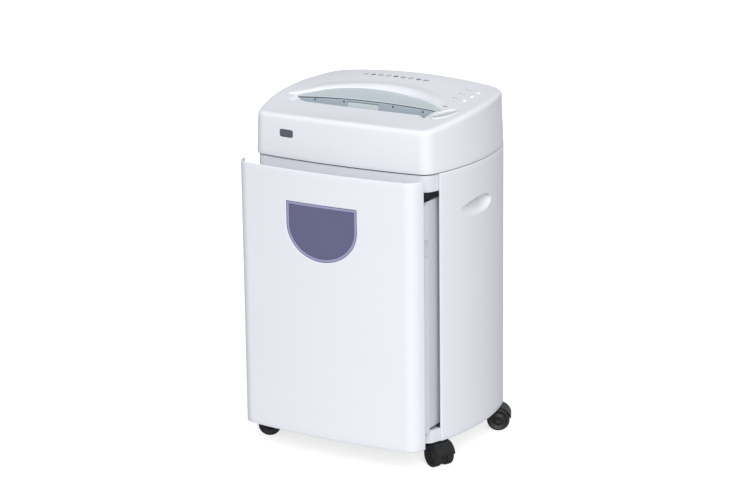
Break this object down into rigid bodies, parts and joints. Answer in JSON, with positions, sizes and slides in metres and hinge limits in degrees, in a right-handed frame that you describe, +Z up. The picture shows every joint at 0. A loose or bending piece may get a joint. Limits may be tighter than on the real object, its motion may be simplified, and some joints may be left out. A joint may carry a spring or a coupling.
{
  "type": "paper shredder",
  "caption": "Office paper shredder on casters: arched head with paper entry and controls, bowed cabinet, pull-out waste drawer with a smoky D-shaped window.",
  "frame": {"origin": "on the floor, under the middle of the footprint with the drawer about 50 mm open", "axes": "+X to the user's right when facing the front, +Y to the back, +Z up; the front faces -Y"},
  "size_m": [0.387, 0.329, 0.601],
  "materials": {
    "white_plastic": "fine moulded grain, white",
    "guide_plastic": "satin blue-grey",
    "smoke_lens": "clear tinted, glossy",
    "bin_plastic": "light grey, satin",
    "caster_plastic": "black, satin",
    "tread": "dark, matte",
    "steel": "machined",
    "sheet_steel": "zinc plated",
    "bronze": "sintered",
    "gear_plastic": "natural",
    "motor_paint": "dark grey enamel",
    "board": "green laminate",
    "lens_clear": "tinted indicator",
    "button_plastic": "white, gloss"
  },
  "bodies": {
    "cabinet": {"base_tray": "white_plastic", "runner_left": "bin_plastic", "runner_right": "bin_plastic", "side_panel_left": "white_plastic", "side_panel_right": "white_plastic", "handle_cup_left": "white_plastic", "handle_cup_right": "white_plastic", "back_panel": "white_plastic", "back_screws": "steel", "front_rail": "white_plastic", "cabinet_deck": "sheet_steel", "shred_chute": "bin_plastic", "door_switch": "white_plastic", "head_base": "sheet_steel", "head_cover": "white_plastic", "throat_guide_rear": "guide_plastic", "throat_guide_front": "guide_plastic", "throat_screws": "steel", "rocker_bezel": "white_plastic", "indicator_lenses": "lens_clear", "control_board": "board", "power_inlet": "caster_plastic", "cutter_plate_left": "sheet_steel", "cutter_plate_right": "sheet_steel", "cutter_bushes": "bronze", "tie_bars": "steel", "front_comb": "steel", "rear_comb": "steel", "idler_pin": "steel", "gear_plate": "sheet_steel", "motor": "motor_paint", "motor_cradle": "sheet_steel", "run_capacitor": "motor_paint"},
    "drawer": {"drawer_front": "white_plastic", "window_lens": "smoke_lens", "window_bezel": "bin_plastic", "waste_bin": "bin_plastic", "door_magnet": "steel"},
    "rear_cutter_unit": {"rear_cutter": "steel", "cutter_gear_rear": "gear_plastic", "main_gear": "gear_plastic"},
    "front_cutter_unit": {"front_cutter": "steel", "cutter_gear_front": "gear_plastic"},
    "idler": {"idler_gear": "gear_plastic"},
    "rotor": {"motor_pinion": "steel", "motor_fan": "gear_plastic"},
    "rocker": {"mode_rocker": "guide_plastic"},
    "flap": {"sensor_flap": "guide_plastic"},
    "power_key": {"power_button": "button_plastic"},
    "forward_key": {"forward_button": "button_plastic"},
    "reverse_key": {"reverse_button": "button_plastic"},
    "caster_front_left": {"caster_fork_front_left": "caster_plastic"},
    "wheels_front_left": {"caster_wheels_front_left": "tread"},
    "caster_front_right": {"caster_fork_front_right": "caster_plastic"},
    "wheels_front_right": {"caster_wheels_front_right": "tread"},
    "caster_rear_left": {"caster_fork_rear_left": "caster_plastic"},
    "wheels_rear_left": {"caster_wheels_rear_left": "tread"},
    "caster_rear_right": {"caster_fork_rear_right": "caster_plastic"},
    "wheels_rear_right": {"caster_wheels_rear_right": "tread"}
  },
  "joints": [
    {"name": "drawer_slide", "type": "slide", "parent": "cabinet", "child": "drawer", "axis": [0, -1, 0], "range_m": [-0.05, 0.14]},
    {"name": "rear_cutter_spin", "type": "hinge", "parent": "cabinet", "child": "rear_cutter_unit", "pos_m": [0, 0, 0.536], "axis": [1, 0, 0], "continuous": true},
    {"name": "front_cutter_spin", "type": "hinge", "parent": "cabinet", "child": "front_cutter_unit", "pos_m": [0, -0.032, 0.536], "axis": [1, 0, 0], "continuous": true},
    {"name": "idler_spin", "type": "hinge", "parent": "cabinet", "child": "idler", "pos_m": [-0.15, 0.03767, 0.54609], "axis": [1, 0, 0], "continuous": true},
    {"name": "rotor_spin", "type": "hinge", "parent": "cabinet", "child": "rotor", "pos_m": [-0.1, 0.07254, 0.54914], "axis": [1, 0, 0], "continuous": true},
    {"name": "rocker_tilt", "type": "hinge", "parent": "cabinet", "child": "rocker", "pos_m": [0.147, -0.01664, 0.57586], "axis": [-0.9135, 0.4028, 0.0566], "range_deg": [-6, 6]},
    {"name": "flap_swing", "type": "hinge", "parent": "cabinet", "child": "flap", "pos_m": [-0.016, -0.0005, 0.5774], "axis": [1, 0, 0], "range_deg": [0, 25], "stiffness_Nm_per_rad": 0.01, "springref_deg": -17.19},
    {"name": "power_press", "type": "slide", "parent": "cabinet", "child": "power_key", "axis": [0, 0, -1], "range_m": [0, 0.001], "stiffness_N_per_m": 400, "springref_m": -0.002},
    {"name": "forward_press", "type": "slide", "parent": "cabinet", "child": "forward_key", "axis": [0, 0, -1], "range_m": [0, 0.001], "stiffness_N_per_m": 400, "springref_m": -0.002},
    {"name": "reverse_press", "type": "slide", "parent": "cabinet", "child": "reverse_key", "axis": [0, 0, -1], "range_m": [0, 0.001], "stiffness_N_per_m": 400, "springref_m": -0.002},
    {"name": "swivel_front_left", "type": "hinge", "parent": "cabinet", "child": "caster_front_left", "pos_m": [-0.15, -0.066, 0.044], "axis": [0, 0, 1], "continuous": true},
    {"name": "roll_front_left", "type": "hinge", "parent": "caster_front_left", "child": "wheels_front_left", "pos_m": [-0.16559, -0.07394, 0.0195], "axis": [0.454, -0.891, 0], "continuous": true},
    {"name": "swivel_front_right", "type": "hinge", "parent": "cabinet", "child": "caster_front_right", "pos_m": [0.15, -0.066, 0.044], "axis": [0, 0, 1], "continuous": true},
    {"name": "roll_front_right", "type": "hinge", "parent": "caster_front_right", "child": "wheels_front_right", "pos_m": [0.16559, -0.07394, 0.0195], "axis": [0.454, 0.891, 0], "continuous": true},
    {"name": "swivel_rear_left", "type": "hinge", "parent": "cabinet", "child": "caster_rear_left", "pos_m": [-0.15, 0.127, 0.044], "axis": [0, 0, 1], "continuous": true},
    {"name": "roll_rear_left", "type": "hinge", "parent": "caster_rear_left", "child": "wheels_rear_left", "pos_m": [-0.16559, 0.13495, 0.0195], "axis": [-0.454, -0.891, 0], "continuous": true},
    {"name": "swivel_rear_right", "type": "hinge", "parent": "cabinet", "child": "caster_rear_right", "pos_m": [0.15, 0.127, 0.044], "axis": [0, 0, 1], "continuous": true},
    {"name": "roll_rear_right", "type": "hinge", "parent": "caster_rear_right", "child": "wheels_rear_right", "pos_m": [0.16559, 0.13495, 0.0195], "axis": [-0.454, 0.891, 0], "continuous": true}
  ],
  "couplings": [
    {"joint": "front_cutter_spin", "follows": "rear_cutter_spin", "ratio": -1},
    {"joint": "idler_spin", "follows": "rear_cutter_spin", "ratio": -3.3333},
    {"joint": "rotor_spin", "follows": "rear_cutter_spin", "ratio": 20}
  ]
}
